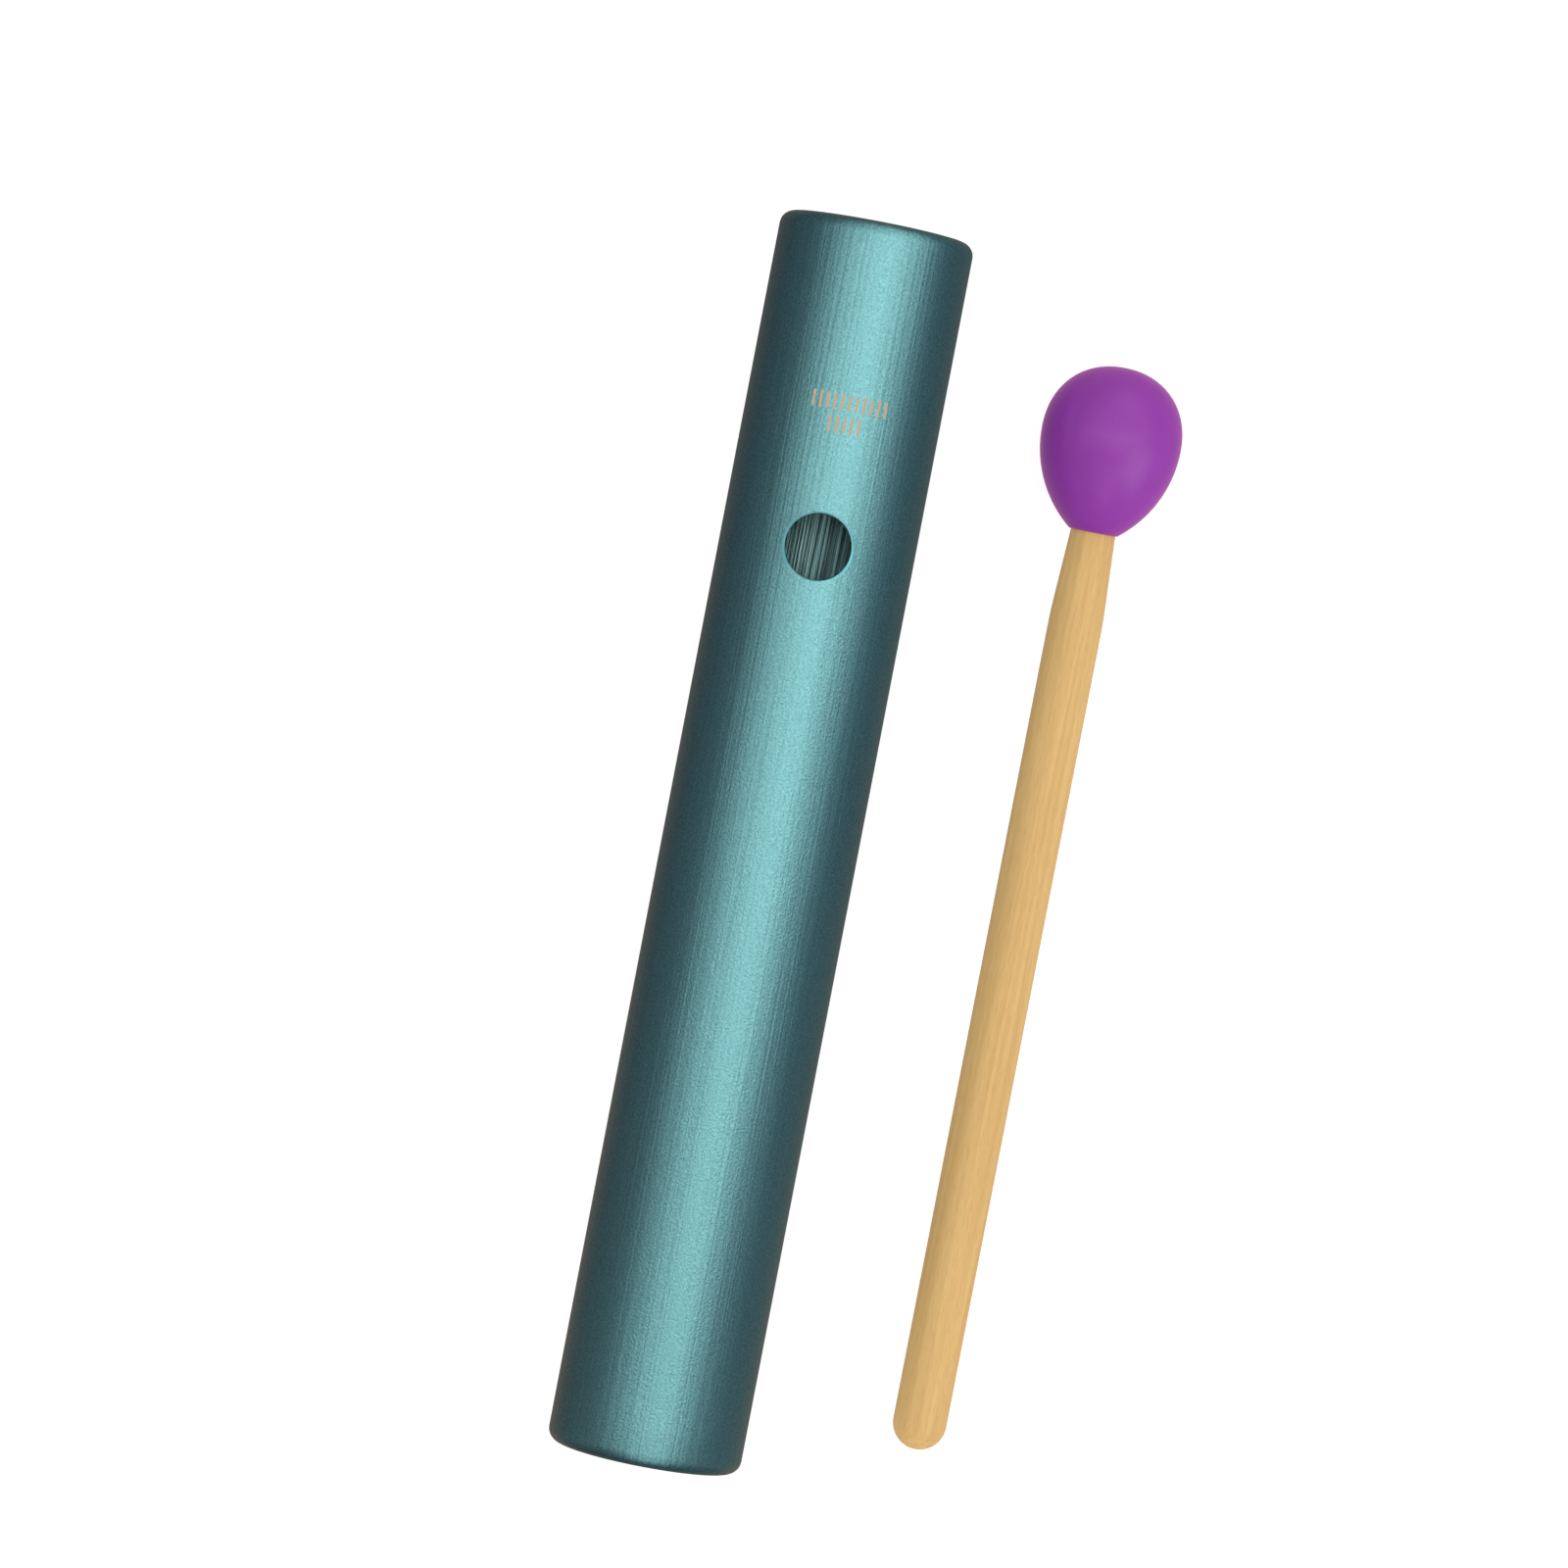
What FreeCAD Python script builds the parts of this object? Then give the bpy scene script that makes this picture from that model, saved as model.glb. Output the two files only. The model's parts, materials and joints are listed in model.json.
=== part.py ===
import FreeCAD, Part
import math
import os

# A metal tube closed at both ends, with a finger hole in its side, and the mallet that strikes it.
# Both lie on a flat surface, side by side, along X. Sizes are in millimetres.
# The origin is the middle of the bounding box's underside, +X points to the end with the hole,
# and the hole opens along +Z.

# Tube
tube_length = 230.0
tube_outer_r = 18.0
tube_wall = 3.0
rim_round_r = 2.5          # rounding of the outer edge at each end
bore_break = 0.3           # chamfer of the bore's edge, one side of the seam round each plug
finger_hole_r = 6.0
finger_hole_from_end = 60.0
hole_edge_break = 0.4      # deburring of the saddle-shaped edge, outside and inside

# End plugs, pressed into the bore until their faces are flush with the tube's ends
plug_thickness = 8.0
plug_face_bevel = 0.3      # the other side of the seam
plug_lead_in = 1.2         # chamfer that guides the plug into the bore

# Mallet handle
handle_r = 5.0
handle_exposed = 173.5     # from the tip of the butt to the mouth of the head
neck_step = 0.85           # how much thinner the handle is where it enters the head
neck_taper_length = 16.0
neck_blend_r = 50.0        # rounding where the taper leaves the straight handle
spigot_depth = 20.0        # length of handle inside the head
spigot_bevel = 0.8

# Mallet head
head_belly_r = 13.0
head_length = 30.8
head_belly_height = 17.5   # from the mouth to the widest place
head_mouth_lip = 0.35      # thickness of the rubber at the mouth
dome_fullness_share = 2.15  # 2 gives an elliptical dome, more gives a squarer one
flank_bands = 5            # conical bands from the mouth to the widest place
dome_bands = 6             # conical bands from there to the crown

# Places
mallet_spacing = 49.5      # between the axes of the tube and the mallet
mallet_inset = 9.3         # the butt's tip lies this far inside the tube's lower end
cut_overrun = 5.0          # how far a cutting solid reaches past what it cuts

X_AXIS = FreeCAD.Vector(1, 0, 0)
Y_AXIS = FreeCAD.Vector(0, 1, 0)
Z_AXIS = FreeCAD.Vector(0, 0, 1)

# Worked out from the sizes above
bore_r = tube_outer_r - tube_wall
neck_r = handle_r - neck_step
mouth_r = neck_r + head_mouth_lip
head_start = handle_exposed
hole_x = tube_length / 2 - finger_hole_from_end
low_y = -mallet_spacing - head_belly_r
high_y = tube_outer_r
tube_y = -(low_y + high_y) / 2
mallet_y = tube_y - mallet_spacing


def vec(x, y, z=0.0):
    """Return a vector."""
    return FreeCAD.Vector(x, y, z)


def revolve_about_x(edges):
    """Turn a closed outline in the X-Y half plane into a solid about the X axis."""
    face = Part.Face(Part.Wire(edges))
    return face.revolve(vec(0, 0), X_AXIS, 360)


def closed_outline(points):
    """Return straight edges through the points and back to the first."""
    following = points[1:] + points[:1]
    return [Part.makeLine(a, b) for a, b in zip(points, following)]


def lay_tube(solid):
    """Bring a solid made about the X axis to the tube's place on the surface."""
    solid.translate(vec(0, tube_y, tube_outer_r))
    return solid


def hole_edges(solid):
    """Find the saddle-shaped edges that the finger hole leaves outside and inside the wall."""
    found = []
    for edge in solid.Edges:
        spots = edge.discretize(Number=5)
        from_hole = [math.hypot(p.x - hole_x, p.y) for p in spots]
        from_axis = [math.hypot(p.y, p.z) for p in spots]
        on_hole = all(math.isclose(r, finger_hole_r, rel_tol=1e-4) for r in from_hole)
        on_wall = math.isclose(max(from_axis), min(from_axis), rel_tol=1e-4)
        if on_hole and on_wall:
            found.append(edge)
    return found


def make_tube():
    """The tube: straight wall, rounded rims and the finger hole with broken edges."""
    half = tube_length / 2
    shell = Part.makeCylinder(tube_outer_r, tube_length, vec(-half, 0), X_AXIS)
    shell = shell.makeFillet(rim_round_r, [e for e in shell.Edges if e.BoundBox.XLength < rim_round_r])
    bore_length = tube_length + 2 * cut_overrun
    bore = Part.makeCylinder(bore_r, bore_length, vec(-half - cut_overrun, 0), X_AXIS)
    wall = shell.cut(bore)
    for end in (-half, half):
        flare = Part.makeCone(bore_r + bore_break, bore_r, bore_break, vec(end, 0), vec(-end / half, 0))
        wall = wall.cut(flare)
    drill = Part.makeCylinder(finger_hole_r, tube_outer_r + cut_overrun, vec(hole_x, 0), Z_AXIS)
    wall = wall.cut(drill)
    return wall.makeChamfer(hole_edge_break, hole_edges(wall))


def make_plug(side):
    """A disc at one end of the bore, its bevelled face outwards and its lead-in inwards."""
    outline = [
        vec(0, 0),
        vec(0, bore_r - plug_face_bevel),
        vec(-plug_face_bevel, bore_r),
        vec(plug_lead_in - plug_thickness, bore_r),
        vec(-plug_thickness, bore_r - plug_lead_in),
        vec(-plug_thickness, 0),
    ]
    disc = revolve_about_x(closed_outline(outline))
    disc.translate(vec(tube_length / 2, 0))
    if side < 0:
        disc = disc.mirror(vec(0, 0), X_AXIS)
    return disc


def blend_arc(before, corner, after, radius):
    """Return the arc of this radius that rounds a corner, and where it starts and ends."""
    back = (before - corner).normalize()
    ahead = (after - corner).normalize()
    half_angle = back.getAngle(ahead) / 2
    reach = radius / math.tan(half_angle)
    start = corner + back * reach
    end = corner + ahead * reach
    inward = (back + ahead).normalize()
    middle = corner + inward * (radius / math.sin(half_angle) - radius)
    return Part.Arc(start, middle, end).toShape(), start, end


def make_handle():
    """The dowel: half-round butt, straight grip, tapered neck and the spigot inside the head."""
    tip = vec(0, 0)
    cheek = vec(handle_r - handle_r * math.cos(math.radians(45)), handle_r * math.sin(math.radians(45)))
    shoulder = vec(handle_r, handle_r)
    taper_start = vec(handle_exposed - neck_taper_length, handle_r)
    neck = vec(handle_exposed, neck_r)
    spigot_end = handle_exposed + spigot_depth
    blend, blend_start, blend_end = blend_arc(shoulder, taper_start, neck, neck_blend_r)
    spigot = [neck, vec(spigot_end - spigot_bevel, neck_r), vec(spigot_end, neck_r - spigot_bevel)]
    spigot += [vec(spigot_end, 0), tip]
    edges = [
        Part.Arc(tip, cheek, shoulder).toShape(),
        Part.makeLine(shoulder, blend_start),
        blend,
        Part.makeLine(blend_end, neck),
    ]
    edges += [Part.makeLine(a, b) for a, b in zip(spigot, spigot[1:])]
    return revolve_about_x(edges)


def head_flank():
    """Points on the arc from the mouth to the widest place, where it runs level."""
    rise = head_belly_r - mouth_r
    flank_r = (head_belly_height ** 2 + rise ** 2) / (2 * rise)
    turn = math.asin(head_belly_height / flank_r)
    centre = vec(head_start + head_belly_height, head_belly_r - flank_r)
    points = []
    for band in range(flank_bands + 1):
        angle = turn * (1 - band / flank_bands)
        points.append(centre + vec(-math.sin(angle), math.cos(angle)) * flank_r)
    return points


def head_dome():
    """Points past the widest place and down to the crown, on a slightly square ellipse."""
    height = head_length - head_belly_height
    power = 2 / dome_fullness_share
    centre = vec(head_start + head_belly_height, 0)
    points = []
    for band in range(1, dome_bands):
        angle = band / dome_bands * math.pi / 2
        along = height * math.sin(angle) ** power
        out = head_belly_r * math.cos(angle) ** power
        points.append(centre + vec(along, out))
    return points + [centre + vec(height, 0)]


def make_head():
    """The rubber head: an egg with a squarish crown, bored for the spigot."""
    spigot_end = head_start + spigot_depth
    bore = [
        vec(spigot_end, 0),
        vec(spigot_end, neck_r - spigot_bevel),
        vec(spigot_end - spigot_bevel, neck_r),
        vec(head_start, neck_r),
    ]
    return revolve_about_x(closed_outline(head_flank() + head_dome() + bore))


def mallet_pitch():
    """The angle at which the mallet lies when its butt and its head both touch the surface."""
    span = head_start + head_belly_height - handle_r
    return math.atan2(head_belly_r, span) - math.asin(handle_r / math.hypot(span, head_belly_r))


def lay_mallet(solid):
    """Bring a solid made about the X axis, butt tip at zero, to the mallet's place."""
    solid.translate(vec(-handle_r, 0))
    solid.rotate(vec(0, 0), Y_AXIS, -math.degrees(mallet_pitch()))
    solid.translate(vec(mallet_inset + handle_r - tube_length / 2, mallet_y, handle_r))
    return solid


def save(solid, node):
    """Write one sub-part to its own STEP file."""
    solid.exportStep(os.path.join("parts", node + ".step"))
    print(node, "valid", solid.isValid(), "volume", round(solid.Volume, 1))


def main():
    """Make every sub-part and write it."""
    os.makedirs("parts", exist_ok=True)
    save(lay_tube(make_tube()), "tube_body")
    save(lay_tube(make_plug(1)), "upper_end_plug")
    save(lay_tube(make_plug(-1)), "lower_end_plug")
    save(lay_mallet(make_handle()), "mallet_handle")
    save(lay_mallet(make_head()), "mallet_head")


main()
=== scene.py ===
"""Looks of a closed percussion tube with a finger hole, and of the mallet that strikes it."""

import json
import logging
import math
from collections.abc import Callable, Sequence
from dataclasses import dataclass
from enum import Enum, IntEnum
from itertools import pairwise
from typing import Any

import bmesh
import bpy
from mathutils import Matrix, Vector

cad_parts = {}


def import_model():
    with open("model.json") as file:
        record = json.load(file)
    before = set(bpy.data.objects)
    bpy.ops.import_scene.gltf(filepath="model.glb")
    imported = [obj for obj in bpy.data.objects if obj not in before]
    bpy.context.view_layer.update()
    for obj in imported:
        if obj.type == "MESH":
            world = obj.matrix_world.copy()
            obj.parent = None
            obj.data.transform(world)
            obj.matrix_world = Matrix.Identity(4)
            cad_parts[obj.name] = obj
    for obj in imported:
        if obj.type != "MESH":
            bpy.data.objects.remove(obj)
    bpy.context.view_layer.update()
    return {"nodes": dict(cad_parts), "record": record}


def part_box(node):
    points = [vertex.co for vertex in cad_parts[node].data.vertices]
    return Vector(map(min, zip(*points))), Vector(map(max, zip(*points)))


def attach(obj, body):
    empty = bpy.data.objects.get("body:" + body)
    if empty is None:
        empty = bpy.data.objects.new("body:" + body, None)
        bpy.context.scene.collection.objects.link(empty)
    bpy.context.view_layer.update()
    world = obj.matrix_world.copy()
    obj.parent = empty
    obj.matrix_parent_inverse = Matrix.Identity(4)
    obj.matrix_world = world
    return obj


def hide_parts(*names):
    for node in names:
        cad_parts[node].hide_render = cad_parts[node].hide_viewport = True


MM = 0.001
"""One millimetre in Blender's metres. Sizes below are written in millimetres times this."""

WELD = 0.002 * MM
"""Points nearer than this are one point."""

CLOSED_R = WELD / 4
"""Radius of a ring so small that welding makes one point of it."""

"""Where the boxes of the CAD model and of the dressed model are written."""

NOISE_RANGE = (0.3, 0.7)
"""What the noise node gives nearly everywhere."""

WAVES_PER_UNIT = math.tau / 20
"""The wave node's scale that gives one ring a metre."""

log = logging.getLogger("wah_wah_tube")


class Body(Enum):
    """The bodies that pieces move with."""

    TUBE = "tube"
    MALLET = "mallet"


class Slot(Enum):
    """The record's material slots of the pieces made here."""

    TUBE = "tube"
    HANDLE = "handle"
    HEAD = "head"


class WallFinish(IntEnum):
    """The places of the wall's finishes among its materials."""

    BLASTED = 0
    TURNED = 1
    DRAWN = 2


# Nodes, colours and patterns


def linear(colour: str, tone: float = 1.0) -> tuple[float, float, float, float]:
    """Turn an sRGB hex colour into a linear one.

    Args:
        colour: Six hex digits after a hash sign.
        tone: Makes the colour darker below one and lighter above it.

    Returns:
        Linear red, green and blue, and an alpha of one.
    """
    parts = [int(colour[i : i + 2], 16) / 255 for i in (1, 3, 5)]
    shades = [p / 12.92 if p <= 0.04045 else ((p + 0.055) / 1.055) ** 2.4 for p in parts]
    return (*(shade * tone for shade in shades), 1.0)


def add_node(
    tree: bpy.types.NodeTree,
    kind: str,
    inputs: dict[str | int, Any] | None = None,
    **settings: Any,
) -> bpy.types.Node:
    """Add a node to a tree, set it and link it.

    Args:
        tree: The tree that gets the node.
        kind: The node's type name.
        inputs: By name or number, each a value, an output socket, or a node for its first output.
        settings: Values for its properties.

    Returns:
        The new node.
    """
    node = tree.nodes.new(kind)
    for name, value in settings.items():
        setattr(node, name, value)
    for name, value in (inputs or {}).items():
        if isinstance(value, bpy.types.Node):
            value = value.outputs[0]
        if isinstance(value, bpy.types.NodeSocket):
            tree.links.new(value, node.inputs[name])
        else:
            node.inputs[name].default_value = value
    return node


@dataclass(frozen=True)
class Patches:
    """A random pattern of a real size: patches this wide across a piece and this long along it."""

    width: float
    length: float
    detail: float = 2.0  # how many finer layers lie over the first one

    def add_to(
        self, tree: bpy.types.NodeTree, low: float = 0.0, high: float = 1.0, pitch: float = 0.0
    ) -> bpy.types.Node:
        """Add the pattern to a tree, in object coordinates.

        Args:
            tree: The tree that gets the nodes.
            low: What the pattern's dark patches give.
            high: What its bright patches give.
            pitch: The slope of a piece that doesn't lie level.

        Returns:
            The node that gives the pattern.
        """
        place = add_node(tree, "ShaderNodeTexCoord").outputs["Object"]
        level = add_node(tree, "ShaderNodeMapping", {"Vector": place, "Rotation": (0, pitch, 0)})
        counts = (1 / self.length, 1 / self.width, 1 / self.width)
        counted = add_node(tree, "ShaderNodeMapping", {"Vector": level, "Scale": counts})
        noise = add_node(
            tree, "ShaderNodeTexNoise", {"Vector": counted, "Scale": 1.0, "Detail": self.detail}
        )
        ranges = dict(enumerate((*NOISE_RANGE, low, high), start=1))
        return add_node(tree, "ShaderNodeMapRange", {"Value": noise, **ranges})


def add_mottle(
    tree: bpy.types.NodeTree, pattern: bpy.types.Node, colour: str, contrast: float
) -> bpy.types.NodeSocket:
    """Add a colour that a pattern makes deeper and paler.

    Args:
        tree: The tree that gets the nodes.
        pattern: Gives the deeper colour at zero and the paler one at one.
        colour: The colour halfway, in hex digits.
        contrast: How much deeper and paler it gets, as a share.

    Returns:
        The socket that gives the colour.
    """
    deep = linear(colour, 1 - contrast)
    pale = linear(colour, 1 + contrast)
    mix = add_node(tree, "ShaderNodeMix", {0: pattern, 6: deep, 7: pale}, data_type="RGBA")
    return mix.outputs[2]


# Finishes


@dataclass(frozen=True)
class Finish:
    """What all finishes share: a name, and a material made round the finish's own shader."""

    name: str

    def material(self) -> bpy.types.Material:
        """Make the material.

        Returns:
            A material that holds nothing but this finish's nodes.
        """
        material = bpy.data.materials.new(self.name)
        material.use_nodes = True
        tree = material.node_tree
        tree.nodes.clear()
        add_node(tree, "ShaderNodeOutputMaterial", {"Surface": self.add_shader(tree)})
        return material

    def add_shader(self, tree: bpy.types.NodeTree) -> bpy.types.Node:
        """Add the finish's patterns and return its shader."""
        raise NotImplementedError


@dataclass(frozen=True)
class BlastedAnodisedAluminium(Finish):
    """Drawn aluminium tube, bead-blasted and then dyed teal in the anodising bath."""

    # The blasting gives a wide soft sheen with a fine sparkle, and the lines that the drawing die
    # left show through it where the light falls off.
    name: str = "aluminium_blasted_anodised_teal"
    colour: str = "#8ecfd0"
    contrast: float = 0.24
    line_share: float = 0.12  # of the contrast, the rest is the grit's
    roughness: float = 0.4
    grit: float = 0.4 * MM  # coarser than real blasting, which is too fine to show
    grit_depth: float = 0.025 * MM
    line_width: float = 0.75 * MM  # coarser than most real lines, which are too fine to show
    line_length: float = 80 * MM
    line_depth: float = 0.038 * MM

    def add_shader(self, tree: bpy.types.NodeTree) -> bpy.types.Node:
        """Add grit and drawing lines, which tilt the surface and vary the dye.

        Args:
            tree: The tree that gets the nodes.

        Returns:
            The shader.
        """
        grit = Patches(self.grit, self.grit, detail=3.0).add_to(tree)
        lines = Patches(self.line_width, self.line_length, detail=3.0).add_to(tree)
        both = add_node(
            tree, "ShaderNodeMix", {0: self.line_share, 2: grit, 3: lines}, data_type="FLOAT"
        )
        dye = add_mottle(tree, both, self.colour, self.contrast)
        drawn = add_node(tree, "ShaderNodeBump", {"Height": lines, "Distance": self.line_depth})
        blasted = add_node(
            tree, "ShaderNodeBump", {"Height": grit, "Distance": self.grit_depth, "Normal": drawn}
        )
        return add_node(
            tree,
            "ShaderNodeBsdfPrincipled",
            {
                "Base Color": dye,
                "Metallic": 1.0,
                "Roughness": self.roughness,
                "Normal": blasted,
            },
        )


@dataclass(frozen=True)
class TurnedAnodisedAluminium(Finish):
    """The same metal where a lathe or a drill cut it."""

    # It is smoother and deeper in colour than the blasted wall, and fine rings run round it.
    name: str = "aluminium_turned_anodised_teal"
    colour: str = "#6fb0b5"
    contrast: float = 0.06
    roughness: float = 0.25
    cloud: float = 3 * MM
    ring_pitch: float = 0.6 * MM  # coarser than a real finishing cut, which is too fine to show
    ring_depth: float = 0.015 * MM
    axis_y: float = 0.0
    axis_z: float = 0.0

    def add_shader(self, tree: bpy.types.NodeTree) -> bpy.types.Node:
        """Add the cutter's rings round the tube's axis, and a slightly cloudy dye.

        Args:
            tree: The tree that gets the nodes.

        Returns:
            The shader.
        """
        place = add_node(tree, "ShaderNodeTexCoord").outputs["Object"]
        to_axis = (0, -self.axis_y, -self.axis_z)
        centred = add_node(tree, "ShaderNodeMapping", {"Vector": place, "Location": to_axis})
        rings = add_node(
            tree,
            "ShaderNodeTexWave",
            {"Vector": centred, "Scale": WAVES_PER_UNIT / self.ring_pitch},
            wave_type="RINGS",
            rings_direction="X",
        )
        cloud = Patches(self.cloud, self.cloud).add_to(tree)
        dye = add_mottle(tree, cloud, self.colour, self.contrast)
        ringed = add_node(
            tree, "ShaderNodeBump", {"Height": rings.outputs["Fac"], "Distance": self.ring_depth}
        )
        return add_node(
            tree,
            "ShaderNodeBsdfPrincipled",
            {
                "Base Color": dye,
                "Metallic": 1.0,
                "Roughness": self.roughness,
                "Normal": ringed,
            },
        )


@dataclass(frozen=True)
class DrawnAnodisedAluminium(Finish):
    """The bore as the drawing die left it, dyed but not blasted."""

    # Lines as long as the bore run through it: the die's grooves tilt the surface, and the pale
    # and dark streaks along them in the colour are painted reflection.
    name: str = "aluminium_drawn_anodised_teal"
    colour: str = "#a8d6d4"
    contrast: float = 0.7
    roughness: float = 0.36
    line_width: float = 0.35 * MM  # coarser than most real lines, which are too fine to show
    line_length: float = 90 * MM
    line_depth: float = 0.04 * MM
    line_and_sheen_range: tuple[float, float] = (-0.5, 1.2)  # below zero it stays dark, so lines are thin

    def add_shader(self, tree: bpy.types.NodeTree) -> bpy.types.Node:
        """Add the die's lines, which tilt the surface and paint streaks of reflection into the
        colour.

        Args:
            tree: The tree that gets the nodes.

        Returns:
            The shader.
        """
        die_lines_and_sheen = Patches(self.line_width, self.line_length, detail=3.0)
        lines = die_lines_and_sheen.add_to(tree, *self.line_and_sheen_range)
        # The pale and dark streaks that this puts in the colour are painted reflection, not dye.
        dye = add_mottle(tree, lines, self.colour, self.contrast)
        scored = add_node(tree, "ShaderNodeBump", {"Height": lines, "Distance": self.line_depth})
        return add_node(
            tree,
            "ShaderNodeBsdfPrincipled",
            {
                "Base Color": dye,
                "Metallic": 1.0,
                "Roughness": self.roughness,
                "Normal": scored,
            },
        )


@dataclass(frozen=True)
class LaserEtchedOxide(Finish):
    """Anodised layer that a laser has bleached."""

    # It is dull, slightly speckled and tan, with none of the metal's sheen.
    name: str = "oxide_laser_etched_tan"
    colour: str = "#c9a98a"
    contrast: float = 0.12
    roughness: float = 0.6
    speck: float = 0.15 * MM  # coarser than a laser's own hatching, which is too fine to show

    def add_shader(self, tree: bpy.types.NodeTree) -> bpy.types.Node:
        """Add the laser's specks.

        Args:
            tree: The tree that gets the nodes.

        Returns:
            The shader.
        """
        specks = Patches(self.speck, self.speck).add_to(tree)
        burnt = add_mottle(tree, specks, self.colour, self.contrast)
        return add_node(
            tree,
            "ShaderNodeBsdfPrincipled",
            {"Base Color": burnt, "Roughness": self.roughness},
        )


@dataclass(frozen=True)
class SandedBeech(Finish):
    """Beech dowel, sanded and lightly waxed."""

    # It is pale and nearly matt, with faint long grain and short darker flecks.
    name: str = "beech_sanded"
    pale_colour: str = "#ecc27c"
    dark_colour: str = "#deb06b"
    fleck_colour: str = "#c99a5a"
    roughness: float = 0.55
    ior: float = 1.45
    grain_width: float = 0.9 * MM
    grain_length: float = 45 * MM
    grain_depth: float = 0.02 * MM
    fleck_width: float = 0.25 * MM
    fleck_length: float = 2.5 * MM
    fleck_strength: float = 0.3
    pitch: float = 0.0

    def add_shader(self, tree: bpy.types.NodeTree) -> bpy.types.Node:
        """Add grain and flecks along the slanting stick.

        Args:
            tree: The tree that gets the nodes.

        Returns:
            The shader.
        """
        rings = Patches(self.grain_width, self.grain_length, detail=3.0)
        grain = rings.add_to(tree, pitch=self.pitch)
        flecks = Patches(self.fleck_width, self.fleck_length, detail=1.0).add_to(
            tree, -self.fleck_strength, self.fleck_strength, self.pitch
        )
        pale, dark, fleck = map(linear, (self.pale_colour, self.dark_colour, self.fleck_colour))
        wood = add_node(tree, "ShaderNodeMix", {0: grain, 6: pale, 7: dark}, data_type="RGBA")
        flecked = add_node(
            tree, "ShaderNodeMix", {0: flecks, 6: wood.outputs[2], 7: fleck}, data_type="RGBA"
        )
        sanded = add_node(tree, "ShaderNodeBump", {"Height": grain, "Distance": self.grain_depth})
        return add_node(
            tree,
            "ShaderNodeBsdfPrincipled",
            {
                "Base Color": flecked.outputs[2],
                "Roughness": self.roughness,
                "IOR": self.ior,
                "Normal": sanded,
            },
        )


@dataclass(frozen=True)
class MouldedRubber(Finish):
    """Purple rubber from a satin mould."""

    # It is matt with one broad soft highlight, paler at its rim and nearly without texture.
    name: str = "rubber_moulded_purple"
    colour: str = "#9030a4"
    contrast: float = 0.03
    roughness: float = 0.34
    ior: float = 1.52
    sheen: float = 0.5
    sheen_colour: str = "#ffa8d8"
    sheen_roughness: float = 0.35
    cloud: float = 6 * MM
    pore: float = 0.3 * MM  # coarser than a real satin mould's, which is too fine to show
    pore_depth: float = 0.004 * MM

    def add_shader(self, tree: bpy.types.NodeTree) -> bpy.types.Node:
        """Add the mould's fine pores and a slightly cloudy colour.

        Args:
            tree: The tree that gets the nodes.

        Returns:
            The shader.
        """
        clouds = Patches(self.cloud, self.cloud).add_to(tree)
        pores = Patches(self.pore, self.pore).add_to(tree)
        tint = add_mottle(tree, clouds, self.colour, self.contrast)
        satin = add_node(tree, "ShaderNodeBump", {"Height": pores, "Distance": self.pore_depth})
        return add_node(
            tree,
            "ShaderNodeBsdfPrincipled",
            {
                "Base Color": tint,
                "Roughness": self.roughness,
                "IOR": self.ior,
                "Sheen Weight": self.sheen,
                "Sheen Roughness": self.sheen_roughness,
                "Sheen Tint": linear(self.sheen_colour),
                "Normal": satin,
            },
        )


@dataclass(frozen=True)
class MattPaper(Finish):
    """White background paper."""

    # It is so evenly lit that shadows on it stay faint.
    name: str = "paper_matt_white"
    colour: str = "#a8a8a8"
    roughness: float = 0.9
    glow: float = 0.8

    def add_shader(self, tree: bpy.types.NodeTree) -> bpy.types.Node:
        """Add plain paper that glows a little.

        Args:
            tree: The tree that gets the nodes.

        Returns:
            The shader.
        """
        return add_node(
            tree,
            "ShaderNodeBsdfPrincipled",
            {
                "Base Color": linear(self.colour),
                "Roughness": self.roughness,
                "Emission Color": (1, 1, 1, 1),
                "Emission Strength": self.glow,
            },
        )


@dataclass(frozen=True)
class GlowingCloth(Finish):
    """White cloth with even light behind it."""

    # It is the same white all over, so its light is soft and comes from all round.
    name: str = "cloth_white_glowing"
    glow: float = 0.96

    def add_shader(self, tree: bpy.types.NodeTree) -> bpy.types.Node:
        """Add an even glow and return its shader."""
        return add_node(tree, "ShaderNodeEmission", {"Color": (1, 1, 1, 1), "Strength": self.glow})


@dataclass(frozen=True)
class EdgeTurn:
    """One edge of the tent's bright band, which turns in or out along the tent."""

    amounts: tuple[float, float]  # how far it turns at two places along the tent
    places: tuple[float, float]
    angles: tuple[float, float]  # from where the band stays to where it turns fully

    def add_to(
        self,
        tree: bpy.types.NodeTree,
        angle: bpy.types.Node,
        along: bpy.types.NodeSocket,
    ) -> bpy.types.Node:
        """Add the turn to the angle by which the band is looked up.

        Args:
            tree: The tree that gets the nodes.
            angle: The angle round the tent, or one that another turn has changed.
            along: The place along the tent.

        Returns:
            The node that gives the changed angle.
        """
        turn = add_node(
            tree,
            "ShaderNodeMapRange",
            {"Value": along, **dict(enumerate((*self.places, *self.amounts), start=1))},
            interpolation_type="SMOOTHSTEP",
        )
        share = add_node(
            tree,
            "ShaderNodeMapRange",
            {"Value": angle, 1: self.angles[0], 2: self.angles[1]},
            interpolation_type="SMOOTHSTEP",
        )
        inputs = {0: turn, 1: share, 2: angle}
        return add_node(tree, "ShaderNodeMath", inputs, operation="MULTIPLY_ADD")


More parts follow.
